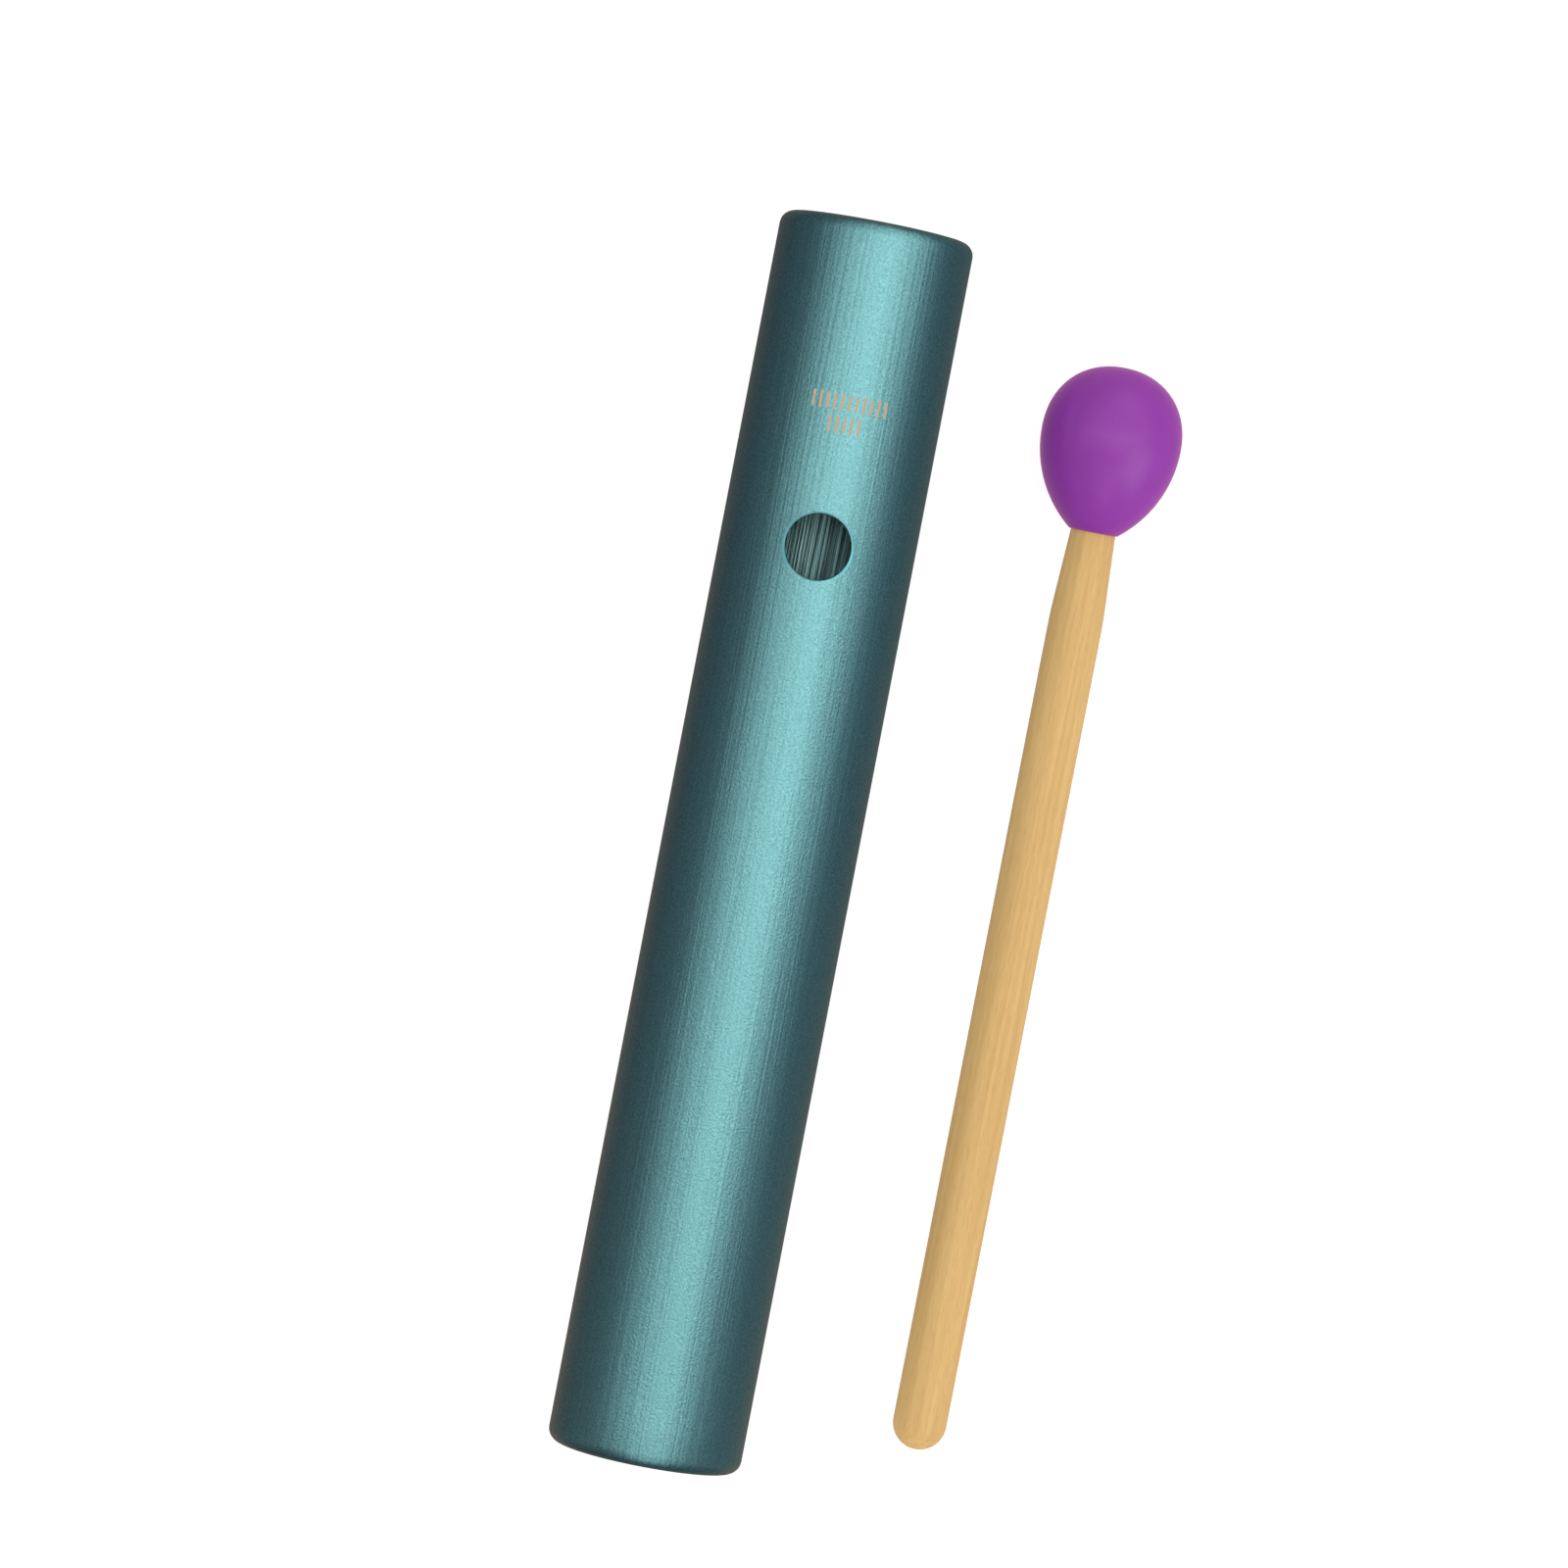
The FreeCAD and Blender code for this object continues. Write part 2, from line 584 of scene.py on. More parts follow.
@dataclass(frozen=True)
class TentCloth(Finish):
    """Thin cloth of the light tent, dim but for a band that lamps outside it brighten."""

    # All its stops are set so that the sheen on the tube lies where the photograph has it.
    name: str = "cloth_light_tent"
    radius: float = 2.0
    peak: float = 2.5
    # Colours of the unlit cloth, by degrees from overhead to the mallet's side
    dim: tuple[tuple[float, str], ...] = (
        (-180, "#7c635d"),
        (-150, "#7c5d58"),
        (-135, "#5d4d4f"),
        (-115, "#40434c"),
        (-90, "#505159"),
        (90, "#4e515f"),
        (125, "#55555b"),
        (145, "#6e605d"),
        (180, "#7c635d"),
    )
    # What the unlit cloth's colour is multiplied by, by the place along the tent in its radii
    dim_length: tuple[tuple[float, str], ...] = (
        (-0.9, "#7c8890"),
        (-0.6, "#c8c0b8"),
        (-0.35, "#f1dcc7"),
        (-0.17, "#d3c7bf"),
        (-0.02, "#adadad"),
    )
    # The band's share of the peak, by the same degrees
    band: tuple[tuple[float, float], ...] = (
        (-64, 0.0),
        (-57, 0.05),
        (-50, 0.15),
        (-43, 0.29),
        (-35, 0.43),
        (-27, 0.53),
        (-19, 0.59),
        (-8, 0.66),
        (-1, 0.75),
        (5, 0.88),
        (12, 1.0),
        (18, 1.06),
        (37, 1.04),
        (44, 0.94),
        (50, 0.75),
        (56, 0.52),
        (62, 0.3),
        (68, 0.14),
        (74, 0.04),
        (78, 0.0),
    )
    # The band's strength, by the place along the tent
    band_length: tuple[tuple[float, float], ...] = (
        (-0.95, 0.0),
        (-0.88, 0.35),
        (-0.5, 0.3),
        (-0.3, 0.04),
        (-0.2, 0.1),
        (-0.1, 0.37),
        (0.0, 1.05),
        (0.1, 0.76),
        (0.2, 0.37),
        (0.3, 0.29),
        (0.97, 0.29),
        (0.995, 0.0),
    )
    mallet_side_turn: EdgeTurn = EdgeTurn(
        (math.radians(37), math.radians(-4)), (-0.01, 0.12), (math.radians(5), math.radians(35))
    )
    far_side_turn: EdgeTurn = EdgeTurn(
        (math.radians(-32), 0.0), (-0.22, -0.05), (math.radians(4), math.radians(-30))
    )

    def add_ramp(
        self,
        tree: bpy.types.NodeTree,
        value: bpy.types.Node | bpy.types.NodeSocket,
        limit: float,
        stops: Sequence[tuple[float, Sequence[float]]],
    ) -> bpy.types.Node:
        """Add a run of colours along a value.

        Args:
            tree: The tree that gets the nodes.
            value: The value that it follows.
            limit: The value runs from minus this to this.
            stops: Places in that range, each with its linear colour.

        Returns:
            The node that gives the colour.
        """
        share = add_node(tree, "ShaderNodeMapRange", {"Value": value, 1: -limit, 2: limit})
        ramp = add_node(tree, "ShaderNodeValToRGB", {0: share})
        elements = ramp.color_ramp.elements
        while len(elements) < len(stops):
            elements.new(1.0)
        for element, (place, colour) in zip(elements, stops):
            element.position = (place / limit + 1) / 2
            element.color = colour
        return ramp

    def add_faded(
        self,
        tree: bpy.types.NodeTree,
        light: bpy.types.Node,
        along: bpy.types.NodeSocket,
        stops: Sequence[tuple[float, Sequence[float]]],
    ) -> bpy.types.Node:
        """Add the fall of a light's strength along the tent.

        Args:
            tree: The tree that gets the nodes.
            light: The light's colour round the tent.
            along: The place along the tent, in its radii.
            stops: Such places, each with what the light is multiplied by there.

        Returns:
            The node that gives the colour, at its RGBA output.
        """
        strength = self.add_ramp(tree, along, 1.0, stops)
        return add_node(
            tree,
            "ShaderNodeMix",
            {0: 1.0, 6: light, 7: strength},
            data_type="RGBA",
            blend_type="MULTIPLY",
        )

    def add_shader(self, tree: bpy.types.NodeTree) -> bpy.types.Node:
        """Add the dim cloth, and on it the band, which follows the tube.

        Args:
            tree: The tree that gets the nodes.

        Returns:
            The shader.
        """
        place = add_node(tree, "ShaderNodeTexCoord").outputs["Object"]
        to_side = (1 / self.radius, -1 / self.radius, 1 / self.radius)
        turned = add_node(tree, "ShaderNodeMapping", {"Vector": place, "Scale": to_side})
        along, side, up = add_node(tree, "ShaderNodeSeparateXYZ", {0: turned}).outputs
        angle = add_node(tree, "ShaderNodeMath", {0: side, 1: up}, operation="ARCTAN2")
        band_angle = self.mallet_side_turn.add_to(tree, angle, along)
        band_angle = self.far_side_turn.add_to(tree, band_angle, along)
        dim = [(math.radians(a), linear(colour)) for a, colour in self.dim]
        dim_length = [(x, linear(colour)) for x, colour in self.dim_length]
        band = [(math.radians(a), linear("#ffffff", level)) for a, level in self.band]
        band_length = [(x, linear("#ffffff", level)) for x, level in self.band_length]
        unlit = self.add_faded(tree, self.add_ramp(tree, angle, math.pi, dim), along, dim_length)
        lit = self.add_faded(
            tree, self.add_ramp(tree, band_angle, math.pi, band), along, band_length
        )
        glow = add_node(
            tree,
            "ShaderNodeMix",
            {0: 1.0, 6: unlit.outputs[2], 7: lit.outputs[2]},
            data_type="RGBA",
            blend_type="ADD",
        )
        return add_node(tree, "ShaderNodeEmission", {0: glow.outputs[2], 1: self.peak})


# Work on meshes


def open_for_editing(name: str) -> bpy.types.Object:
    """Name the primitive that was just added, put its place in its mesh and open it in edit mode.

    Args:
        name: The piece's name.

    Returns:
        The piece.
    """
    piece = bpy.context.object
    piece.name = name
    piece.data.name = name
    bpy.ops.object.transform_apply(location=True, rotation=True, scale=True)
    bpy.ops.object.mode_set(mode="EDIT")
    return piece


def close_editing(smooth_angle: float) -> None:
    """Weld the open piece, turn its faces outwards, leave edit mode and smooth it.

    Args:
        smooth_angle: Edges sharper than this stay sharp.
    """
    bpy.ops.mesh.select_all(action="SELECT")
    bpy.ops.mesh.remove_doubles(threshold=WELD)
    bpy.ops.mesh.normals_make_consistent(inside=False)
    bpy.ops.object.mode_set(mode="OBJECT")
    bpy.ops.object.shade_smooth_by_angle(angle=smooth_angle)


def pick_edges(piece: bpy.types.Object, test: Callable[[Vector], bool]) -> None:
    """Select the edges whose two points both pass a test, and nothing else.

    Args:
        piece: The object that is open in edit mode.
        test: Says of a point's place whether it passes.
    """
    bpy.ops.mesh.select_mode(type="EDGE")
    bpy.ops.mesh.select_all(action="DESELECT")
    mesh = bmesh.from_edit_mesh(piece.data)
    for edge in mesh.edges:
        if all(test(point.co) for point in edge.verts):
            edge.select_set(True)
    mesh.select_flush_mode()
    bmesh.update_edit_mesh(piece.data)


def place_picked(piece: bpy.types.Object, rule: Callable[[Vector], Vector]) -> None:
    """Move each selected point to where a rule puts it.

    Args:
        piece: The object that is open in edit mode.
        rule: Gives a point's new place from its old one.
    """
    mesh = bmesh.from_edit_mesh(piece.data)
    for point in mesh.verts:
        if point.select:
            point.co = rule(point.co)
    bmesh.update_edit_mesh(piece.data)


def near(first: float, second: float) -> bool:
    """Say whether two lengths agree within the weld distance."""
    return abs(first - second) < WELD


def turn_on_lathe(
    name: str, stations: Sequence[tuple[float, float]], segments: int, smooth_angle: float
) -> bpy.types.Object:
    """Turn a piece about the X axis, ring by ring.

    Args:
        name: The piece's name.
        stations: Places along the axis, each with its radius. A radius of zero closes the end.
        segments: Points round each ring.
        smooth_angle: Edges sharper than this stay sharp.

    Returns:
        The piece.
    """
    rings = [(x, max(r, CLOSED_R)) for x, r in stations]
    start_x, start_r = rings[0]
    bpy.ops.mesh.primitive_circle_add(
        vertices=segments, radius=start_r, location=(start_x, 0, 0), rotation=(0, math.pi / 2, 0)
    )
    piece = open_for_editing(name)
    for (x, r), (next_x, next_r) in pairwise(rings):
        bpy.ops.mesh.extrude_edges_move(TRANSFORM_OT_translate={"value": (next_x - x, 0, 0)})
        grow = next_r / r
        bpy.ops.transform.resize(value=(1, grow, grow), center_override=(next_x, 0, 0))
    close_editing(smooth_angle)
    return piece


def finish_piece(
    piece: bpy.types.Object, body: Body, slot: Slot, replaced: str | None = None
) -> None:
    """Tie a piece to its body and hide the node that it stands for.

    Args:
        piece: The finished piece.
        body: The body that it moves with.
        slot: The record's material slot that its finish belongs to; not used.
        replaced: The node that it stands for, if any.
    """
    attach(piece, body.value)
    if replaced:
        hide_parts(replaced)
    log.info("%s: %d faces, on body %s", piece.name, len(piece.data.polygons), body.value)


# Sub-assemblies


@dataclass
class ResonatorTube:
    """The tube: its wall with the finger hole, its two plugs and the etched scale."""

    length: float
    outer_r: float
    bore_r: float
    axis_y: float
    hole_x: float
    hole_r: float
    rim_round: float = 2.5 * MM
    rim_steps: int = 8
    bore_break: float = 0.3 * MM
    hole_edge_break: float = 0.25 * MM
    hole_edge_steps: int = 3
    hole_points: int = 96
    patch_half: float = 9.5 * MM  # half the side of the square patch round the hole
    patch_rings: tuple[float, ...] = (0.2, 0.4)  # round rings, as shares of the way to its border
    patch_squareness: tuple[float, ...] = (0.35, 0.5, 1.0)  # how far each next ring squares up
    strip_step: float = 8 * MM
    turn_steps: int = 168  # steps round the tube outside the patch
    smooth_angle: float = math.radians(35)
    mark_x: float = 81.5 * MM
    mark_turn: float = math.radians(2.5)  # how far round from the top the scale's middle lies
    mark_rows: tuple[int, ...] = (11, 5)
    mark_row_turns: tuple[float, ...] = (0.0, math.radians(-1))
    mark_row_gap: float = 4.1 * MM
    mark_pitch: float = 1.35 * MM
    mark_height: float = 3.0 * MM
    mark_width: float = 0.45 * MM
    mark_thickness: float = 0.03 * MM

    @classmethod
    def from_frame(cls, record: dict[str, Any]) -> "ResonatorTube":
        """Read the tube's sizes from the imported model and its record.

        Args:
            record: The part's record.

        Returns:
            The tube, not yet built.
        """
        low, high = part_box("tube_body")
        plug_low, plug_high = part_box("upper_end_plug")
        hole = next(mount for mount in record["mounts"] if mount["name"] == "finger_hole")
        return cls(
            length=high.x - low.x,
            outer_r=(high.z - low.z) / 2,
            bore_r=(plug_high.z - plug_low.z) / 2,
            axis_y=(low.y + high.y) / 2,
            hole_x=hole["pos_m"][0],
            hole_r=hole["dims"]["r_mm"] * MM,
        )

    def build(self, nodes: dict[str, bpy.types.Object]) -> None:
        """Make and dress the wall, dress the plugs and add the etched scale.

        Args:
            nodes: The CAD model's nodes by name.
        """
        turned = TurnedAnodisedAluminium(axis_y=self.axis_y, axis_z=self.outer_r).material()
        wall = self.make_wall()
        wall.data.materials.append(BlastedAnodisedAluminium().material())
        wall.data.materials.append(turned)
        wall.data.materials.append(DrawnAnodisedAluminium().material())
        self.sort_faces(wall)
        finish_piece(wall, Body.TUBE, Slot.TUBE, "tube_body")
        for name in ("upper_end_plug", "lower_end_plug"):
            nodes[name].material_slots[0].material = turned
            log.info("%s: kept from the CAD model, dressed", name)
        scale = self.make_scale()
        scale.data.materials.append(LaserEtchedOxide().material())
        finish_piece(scale, Body.TUBE, Slot.TUBE)

    def make_wall(self) -> bpy.types.Object:
        """Make the wall: two skins joined through the hole and round both rims.

        Returns:
            The wall.
        """
        half = self.length / 2
        inner = self.make_skin("bore_skin", self.bore_r, half - self.bore_break)
        bpy.ops.object.mode_set(mode="OBJECT")
        outer = self.make_skin("tube_wall", self.outer_r, half)
        self.round_rims(outer)
        bpy.ops.object.mode_set(mode="OBJECT")
        inner.select_set(True)
        bpy.ops.object.join()
        bpy.ops.object.mode_set(mode="EDIT")
        for end in (-half, half):
            pick_edges(outer, self.mouth_test(end))
            bpy.ops.mesh.bridge_edge_loops()
        pick_edges(outer, self.on_hole)
        bpy.ops.mesh.bridge_edge_loops()
        bpy.ops.mesh.select_all(action="SELECT")
        bpy.ops.mesh.normals_make_consistent(inside=False)
        pick_edges(outer, self.on_hole)
        self.drop_upright_edges(outer)
        bpy.ops.mesh.bevel(
            offset=self.hole_edge_break, segments=self.hole_edge_steps, affect="EDGES"
        )
        bpy.ops.mesh.select_all(action="SELECT")
        bpy.ops.transform.translate(value=(0, self.axis_y, self.outer_r))
        close_editing(self.smooth_angle)
        return outer

    def make_skin(self, name: str, radius: float, half_length: float) -> bpy.types.Object:
        """Make one face of the wall: a patch round the hole, strips to the ends and the way round.

        Args:
            name: The object's name.
            radius: Radius of this face of the wall.
            half_length: How far it reaches each way along the tube.

        Returns:
            The skin about the X axis, open in edit mode.
        """
        piece = self.start_patch(name)
        for way in (-1, 1):
            side = self.hole_x + way * self.patch_half
            pick_edges(piece, lambda p, side=side: near(p.x, side))
            run = way * half_length - side
            count = math.ceil(abs(run) / self.strip_step)
            for _ in range(count):
                step = {"value": (run / count, 0, 0)}
                bpy.ops.mesh.extrude_edges_move(TRANSFORM_OT_translate=step)
        bpy.ops.mesh.select_all(action="SELECT")
        place_picked(piece, lambda p: Vector((p.x, p.y, math.sqrt(radius**2 - p.y**2))))
        rest_of_turn = math.tau - 2 * math.asin(self.patch_half / radius)
        pick_edges(piece, lambda p: near(p.y, self.patch_half))
        bpy.ops.mesh.spin(
            steps=self.turn_steps, angle=rest_of_turn, center=(0, 0, 0), axis=(1, 0, 0)
        )
        bpy.ops.mesh.select_all(action="SELECT")
        bpy.ops.mesh.remove_doubles(threshold=WELD)
        return piece

    def start_patch(self, name: str) -> bpy.types.Object:
        """Ring the finger hole with faces that pass from its circle to a square border.

        Args:
            name: The object's name.

        Returns:
            The flat patch at the hole's place along the tube, open in edit mode.
        """
        bpy.ops.mesh.primitive_circle_add(vertices=self.hole_points, radius=self.hole_r)
        piece = open_for_editing(name)
        r = self.hole_r
        for share in self.patch_rings:
            next_r = self.hole_r + (self.patch_half - self.hole_r) * share
            bpy.ops.mesh.extrude_edges_move()
            bpy.ops.transform.resize(value=(next_r / r, next_r / r, 1))
            r = next_r
        for share in self.patch_squareness:
            bpy.ops.mesh.extrude_edges_move()
            place_picked(piece, self.square_up(share))
        bpy.ops.mesh.select_all(action="SELECT")
        bpy.ops.transform.translate(value=(self.hole_x, 0, 0))
        return piece

    def square_up(self, share: float) -> Callable[[Vector], Vector]:
        """Make a rule that moves a point outwards, a share of the way to the patch's border.

        Args:
            share: At zero the point stays where it is, and at one it is on the border.

        Returns:
            The rule, which gives a point's new place from its old one.
        """

        def rule(point: Vector) -> Vector:
            """Return a point's new place."""
            on_border = point * (self.patch_half / max(abs(point.x), abs(point.y)))
            return point.lerp(on_border, share)

        return rule

    def round_rims(self, skin: bpy.types.Object) -> None:
        """Close the outer skin with the tube's two end faces and round the edges round them.

        Args:
            skin: The outer skin, open in edit mode.
        """
        half = self.length / 2
        shrink = (self.bore_r + self.bore_break) / self.outer_r
        for end in (-half, half):
            pick_edges(skin, lambda p, end=end: near(p.x, end))
            bpy.ops.mesh.extrude_edges_move()
            bpy.ops.transform.resize(value=(1, shrink, shrink), center_override=(end, 0, 0))
        pick_edges(
            skin, lambda p: near(abs(p.x), half) and near(math.hypot(p.y, p.z), self.outer_r)
        )
        bpy.ops.mesh.bevel(offset=self.rim_round, segments=self.rim_steps, affect="EDGES")

    def mouth_test(self, end: float) -> Callable[[Vector], bool]:
        """Make a test for the two loops that the bore's edge break joins at one end.

        Args:
            end: The end's place along the tube.

        Returns:
            The test, which says whether a point is on one of the loops.
        """

        def test(point: Vector) -> bool:
            """Say whether a point is on one of the loops."""
            r = math.hypot(point.y, point.z)
            on_face = near(point.x, end) and near(r, self.bore_r + self.bore_break)
            inset_end = math.copysign(abs(end) - self.bore_break, end)
            return on_face or (near(point.x, inset_end) and near(r, self.bore_r))

        return test

    def on_hole(self, point: Vector) -> bool:
        """Say whether a point is on the finger hole's wall."""
        return near(math.hypot(point.x - self.hole_x, point.y), self.hole_r) and point.z > 0

    def drop_upright_edges(self, piece: bpy.types.Object) -> None:
        """Take the hole wall's upright edges out of the selection, so that only its rims stay.

        Args:
            piece: The wall, open in edit mode.
        """
        mesh = bmesh.from_edit_mesh(piece.data)
        for edge in mesh.edges:
            first, second = (point.co for point in edge.verts)
            if edge.select and near(first.x, second.x) and near(first.y, second.y):
                edge.select_set(False)
        bmesh.update_edit_mesh(piece.data)

    def sort_faces(self, wall: bpy.types.Object) -> None:
        """Give each face its finish: blasted outside, turned at the ends and hole, drawn inside.

        Args:
            wall: The finished wall in its place.
        """
        for face in wall.data.polygons:
            points = [wall.data.vertices[i].co for i in face.vertices]
            radii = [math.hypot(p.y - self.axis_y, p.z - self.outer_r) for p in points]
            flat_end = all(near(abs(p.x), self.length / 2) for p in points)
            on_rim = abs(face.center.x) > self.length / 2 - self.rim_round
            if all(near(r, self.outer_r) for r in radii):
                face.material_index = WallFinish.BLASTED
            elif on_rim and not flat_end and min(radii) > self.outer_r - self.rim_round - WELD:
                face.material_index = WallFinish.BLASTED
            elif all(near(r, self.bore_r) for r in radii):
                face.material_index = WallFinish.DRAWN
            else:
                face.material_index = WallFinish.TURNED

    def make_scale(self) -> bpy.types.Object:
        """Make the etched scale: one stroke, copied along two rows on the wall.

        Returns:
            The scale.
        """
        bpy.ops.mesh.primitive_cube_add(size=1)
        stroke = bpy.context.object
        stroke.scale = (self.mark_height, self.mark_width, self.mark_thickness)
        bpy.ops.object.transform_apply(location=True, rotation=True, scale=True)
        copies = []
        for row, (count, row_turn) in enumerate(zip(self.mark_rows, self.mark_row_turns)):
            for index in range(count):
                turn = (index - (count - 1) / 2) * self.mark_pitch / self.outer_r
                bpy.ops.object.select_all(action="DESELECT")
                stroke.select_set(True)
                bpy.ops.object.duplicate()
                copy = bpy.context.selected_objects[0]
                lift = Matrix.Translation((self.mark_x - row * self.mark_row_gap, 0, self.outer_r))
                turn += self.mark_turn + row_turn
                copy.data.transform(Matrix.Rotation(turn, 4, "X") @ lift)
                copies.append(copy)
        bpy.data.objects.remove(stroke)
        for copy in copies:
            copy.select_set(True)
        scale = copies[0]
        bpy.context.view_layer.objects.active = scale
        bpy.ops.object.join()
        scale.data.transform(Matrix.Translation((0, self.axis_y, self.outer_r)))
        scale.name = "etched_scale"
        scale.data.name = "etched_scale"
        return scale


@dataclass
class Mallet:
    """The mallet: a beech stick with a tapered neck, and the egg-shaped rubber head."""

    butt_x: float
    axis_y: float
    handle_r: float = 5.0 * MM
    handle_exposed: float = 173.5 * MM
    neck_step: float = 0.85 * MM
    neck_taper: float = 16.0 * MM
    neck_blend: float = 3 * MM  # half the length of the rounding where the taper starts
    spigot_depth: float = 20.0 * MM
    belly_r: float = 13.0 * MM
    head_length: float = 30.8 * MM
    belly_height: float = 17.5 * MM
    mouth_lip: float = 0.35 * MM
    dome_fullness: float = 2.15
    butt_steps: int = 16
    blend_steps: int = 8
    head_steps: int = 24
    segments: int = 128
    smooth_angle: float = math.radians(40)

    @classmethod
    def from_frame(cls) -> "Mallet":
        """Read the mallet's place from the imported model."""
        low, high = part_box("mallet_handle")
        return cls(butt_x=low.x, axis_y=(low.y + high.y) / 2)

    @property
    def neck_r(self) -> float:
        """Radius of the stick where it enters the head."""
        return self.handle_r - self.neck_step

    @property
    def pitch(self) -> float:
        """The angle at which the mallet lies on its butt and its head."""
        span = self.handle_exposed + self.belly_height - self.handle_r
        reach = math.hypot(span, self.belly_r)
        return math.atan2(self.belly_r, span) - math.asin(self.handle_r / reach)

    def build(self) -> bpy.types.Object:
        """Make and dress the stick and the head.

        Returns:
            The head.
        """
        stick = self.make_stick()
        stick.data.materials.append(SandedBeech(pitch=self.pitch).material())
        finish_piece(stick, Body.MALLET, Slot.HANDLE, "mallet_handle")
        head = self.make_head()
        head.data.materials.append(MouldedRubber().material())
        finish_piece(head, Body.MALLET, Slot.HEAD, "mallet_head")
        for piece in (stick, head):
            piece.visible_glossy = False  # keeps their colours out of the tube's sheen
        return head

    def make_stick(self) -> bpy.types.Object:
        """Turn the stick: half-round butt, grip, tapered neck and the spigot in the head.

        Returns:
            The stick in its place.
        """
        stations = []
        for step in range(self.butt_steps + 1):
            angle = step / self.butt_steps * math.pi / 2
            x = self.handle_r * (1 - math.cos(angle))
            stations.append((x, self.handle_r * math.sin(angle)))
        blend_start = self.handle_exposed - self.neck_taper - self.neck_blend
        slope = self.neck_step / self.neck_taper
        for step in range(self.blend_steps + 1):
            share = step / self.blend_steps
            fall = slope * self.neck_blend * share**2
            stations.append((blend_start + 2 * self.neck_blend * share, self.handle_r - fall))
        spigot_end = self.handle_exposed + self.spigot_depth
        stations += [(x, self.neck_r) for x in (self.handle_exposed, spigot_end)]
        stations.append((spigot_end, 0))
        stick = turn_on_lathe("mallet_stick", stations, self.segments, self.smooth_angle)
        self.lay(stick)
        return stick

    def make_head(self) -> bpy.types.Object:
        """Turn the head: its bore, an arc from the mouth to the belly, and a slightly square dome.

        Returns:
            The head in its place.
        """
        rise = self.belly_r - self.neck_r - self.mouth_lip
        flank_r = (self.belly_height**2 + rise**2) / (2 * rise)
        turn = math.asin(self.belly_height / flank_r)
        belly_x = self.handle_exposed + self.belly_height
        dome_height = self.head_length - self.belly_height
        power = 2 / self.dome_fullness
        bore_end = self.handle_exposed + self.spigot_depth
        stations = [(bore_end, 0), (bore_end, self.neck_r), (self.handle_exposed, self.neck_r)]
        for step in range(self.head_steps + 1):
            angle = turn * (1 - step / self.head_steps)
            r = self.belly_r - flank_r * (1 - math.cos(angle))
            stations.append((belly_x - flank_r * math.sin(angle), r))
        for step in range(1, self.head_steps + 1):
            angle = step / self.head_steps * math.pi / 2
            out = self.belly_r * max(math.cos(angle), 0) ** power
            stations.append((belly_x + dome_height * math.sin(angle) ** power, out))
        head = turn_on_lathe("rubber_head", stations, self.segments, self.smooth_angle)
        self.lay(head)
        return head

    def lay(self, piece: bpy.types.Object) -> None:
        """Tilt a piece that was turned about X, its butt at zero, and bring it to its place.

        Args:
            piece: The stick or the head.
        """
        centre = Vector((self.butt_x + self.handle_r, self.axis_y, self.handle_r))
        tilt = Matrix.Rotation(-self.pitch, 4, "Y")
        back = Matrix.Translation((-self.handle_r, 0, 0))
        piece.data.transform(Matrix.Translation(centre) @ tilt @ back)


@dataclass
class PhotoCamera:
    """The camera as it stood for the photograph, high above the object and turned a little."""

    place: tuple[float, float, float] = (32.61 * MM, 32.61 * MM, 1239.67 * MM)
    spin: float = 0.18940  # about the vertical
    nod: float = -0.01898  # about its own level axis
    swing: float = -0.00683  # about its own upward axis
    lens: float = 152.795
    sensor: float = 36.0

    def build(self) -> None:
        """Add the camera and make it the scene's."""
        bpy.ops.object.camera_add()
        camera = bpy.context.object
        camera.data.sensor_width = self.sensor
        camera.data.lens = self.lens
        # It looks straight down, with the tube's upper end at the top, before it is turned
        turn = Matrix(((0, 1, 0), (-1, 0, 0), (0, 0, 1)))
        turn = Matrix.Rotation(self.spin, 3, "Z") @ turn
        turn = Matrix.Rotation(self.nod, 3, turn.col[0]) @ turn
        turn = Matrix.Rotation(self.swing, 3, turn.col[1]) @ turn
        camera.matrix_world = Matrix.Translation(self.place) @ turn.to_4x4()
        bpy.context.scene.camera = camera


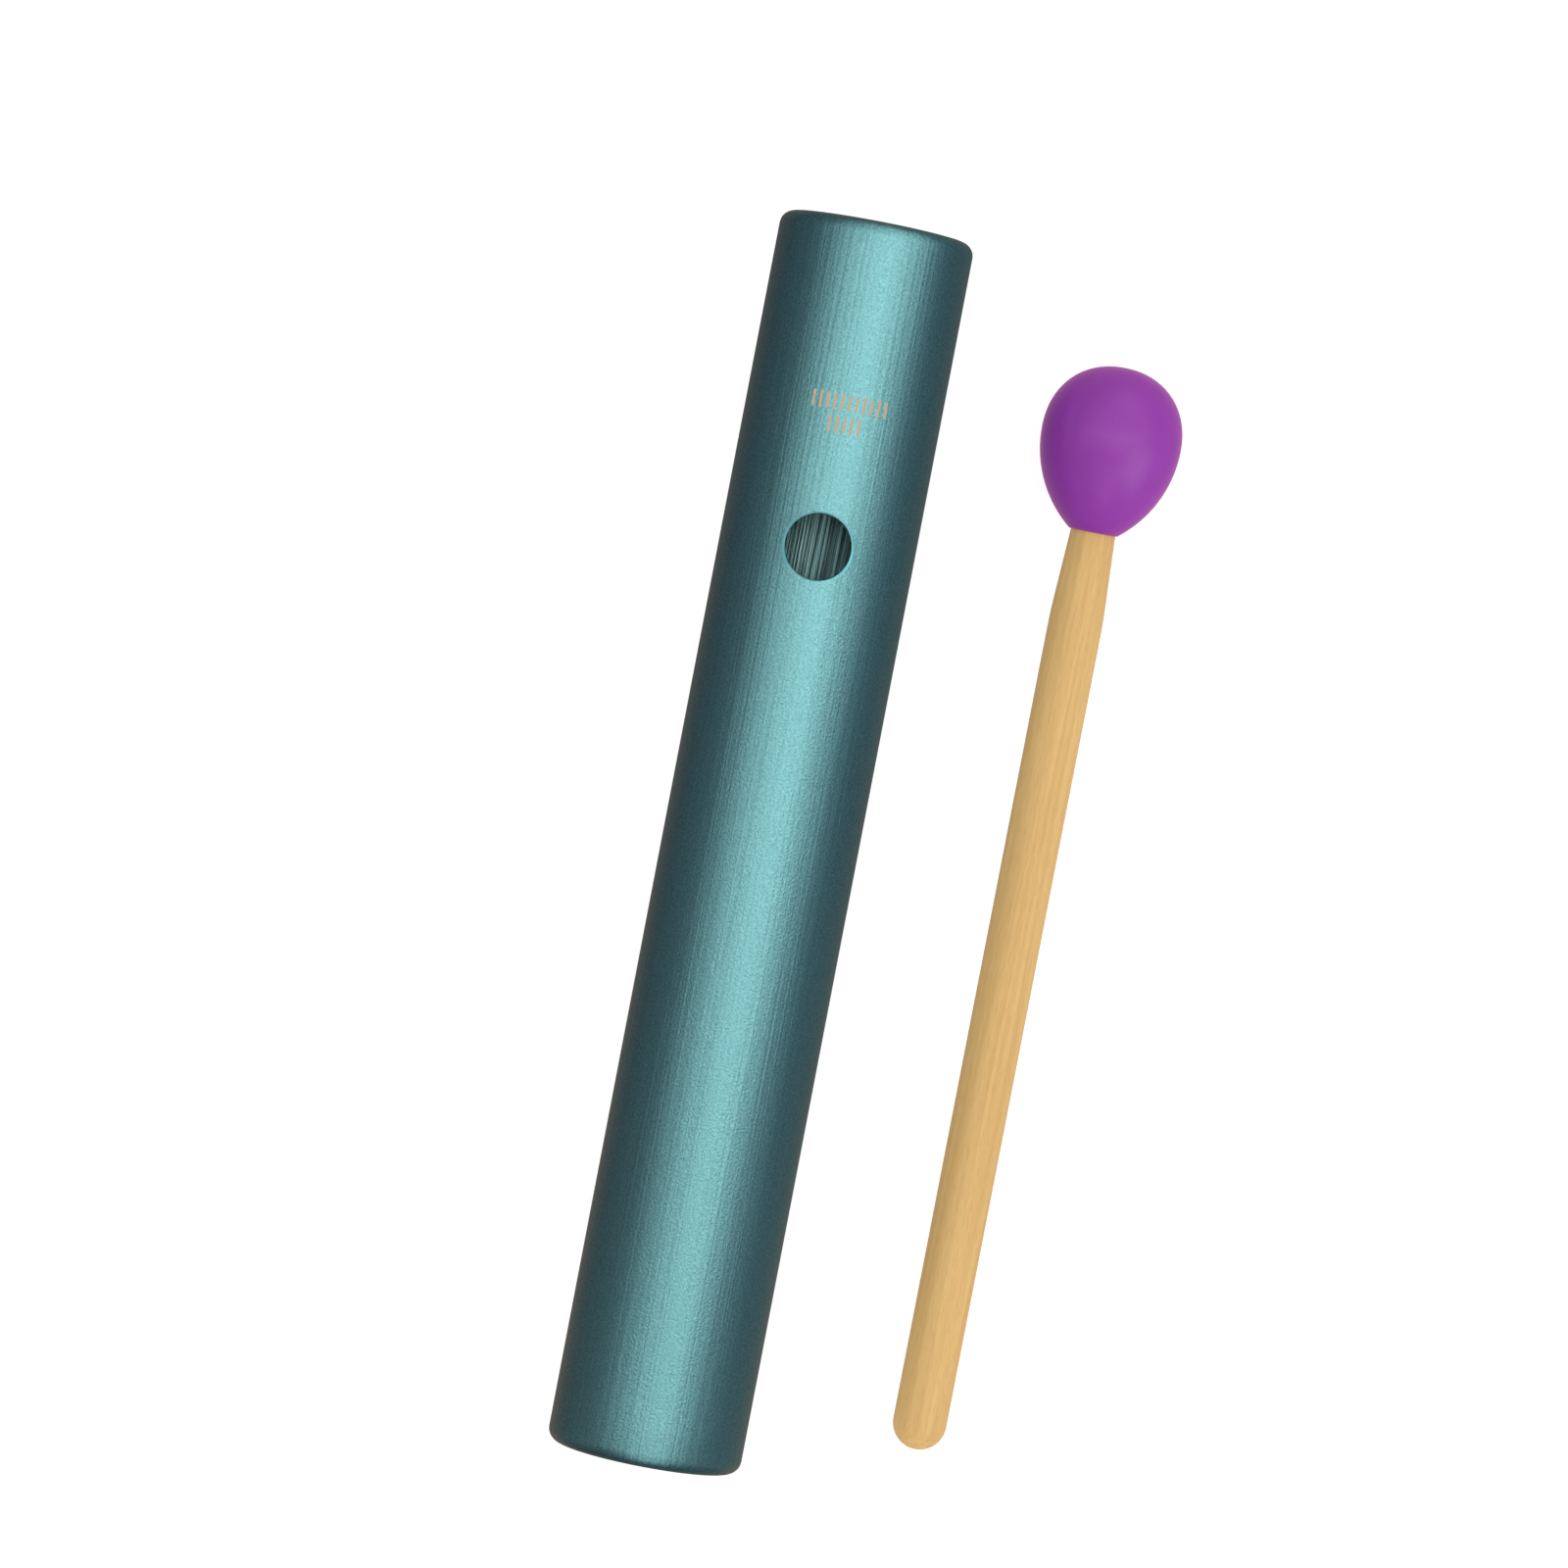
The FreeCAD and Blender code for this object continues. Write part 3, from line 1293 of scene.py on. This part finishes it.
@dataclass
class Studio:
    """White paper, a soft white surround, a light tent for the metal and the head's softbox."""

    floor_size: float = 6.0
    surround_r: float = 4.0
    globe_segments: int = 48
    globe_rings: int = 24
    softbox_angle: float = math.radians(52)
    softbox_distance: float = 1.5
    softbox_width: float = 1.2
    softbox_length: float = 1.2
    softbox_power: float = 5.0
    softbox_x: float = -0.6
    room_level: float = 0.1

    def build(self, head: bpy.types.Object) -> None:
        """Set up the studio.

        Args:
            head: The piece that the softbox lights.
        """
        self.lay_floor()
        self.raise_surround()
        self.pitch_tent()
        self.hang_softbox(head)
        self.darken_world()
        bpy.context.scene.view_settings.view_transform = "Standard"

    def lay_floor(self) -> None:
        """Lay the paper that the object stands on, which its metal doesn't reflect."""
        bpy.ops.mesh.primitive_plane_add(size=self.floor_size)
        floor = bpy.context.object
        floor.name = "floor"
        floor.data.materials.append(MattPaper().material())
        floor.visible_glossy = False

    def add_globe(self, name: str, radius: float, finish: Finish) -> bpy.types.Object:
        """Add a glowing globe round everything, which casts no shadow.

        Args:
            name: The object's name.
            radius: Its radius.
            finish: Its finish.

        Returns:
            The globe.
        """
        bpy.ops.mesh.primitive_uv_sphere_add(
            segments=self.globe_segments, ring_count=self.globe_rings, radius=radius
        )
        globe = bpy.context.object
        globe.name = name
        globe.visible_shadow = False
        globe.data.materials.append(finish.material())
        return globe

    def raise_surround(self) -> None:
        """Put a glowing white globe round everything, which lights but isn't reflected."""
        self.add_globe("surround", self.surround_r, GlowingCloth()).visible_glossy = False

    def pitch_tent(self) -> None:
        """Put up the tent that only gloss shows."""
        cloth = TentCloth()
        tent = self.add_globe("light_tent", cloth.radius, cloth)
        tent.visible_camera = False
        tent.visible_diffuse = False
        tent.visible_transmission = False

    def hang_softbox(self, head: bpy.types.Object) -> None:
        """Hang the softbox above the mallet's side, shaded off from all but the rubber head.

        Args:
            head: The piece that it lights.
        """
        reach = self.softbox_distance
        side, up = -reach * math.sin(self.softbox_angle), reach * math.cos(self.softbox_angle)
        bpy.ops.object.light_add(
            type="AREA", location=(self.softbox_x, side, up), rotation=(self.softbox_angle, 0, 0)
        )
        box = bpy.context.object
        box.name = "softbox"
        box.data.shape = "RECTANGLE"
        box.data.size = self.softbox_length
        box.data.size_y = self.softbox_width
        box.data.energy = self.softbox_power
        lit_pieces = bpy.data.collections.new("lit_by_softbox")
        lit_pieces.objects.link(head)
        box.light_linking.receiver_collection = lit_pieces

    def darken_world(self) -> None:
        """Make the world dim, as it shows nowhere."""
        world = bpy.data.worlds.new("dim_room")
        world.use_nodes = True
        world.node_tree.nodes["Background"].inputs["Strength"].default_value = self.room_level
        bpy.context.scene.world = world


def main() -> None:
    """Build the studio, the tube, the mallet and the camera."""
    logging.basicConfig(level=logging.INFO, format="%(message)s")
    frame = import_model()
    bpy.ops.object.select_all(action="DESELECT")
    ResonatorTube.from_frame(frame["record"]).build(frame["nodes"])
    head = Mallet.from_frame().build()
    Studio().build(head)
    PhotoCamera().build()


if __name__ == "__main__":
    main()
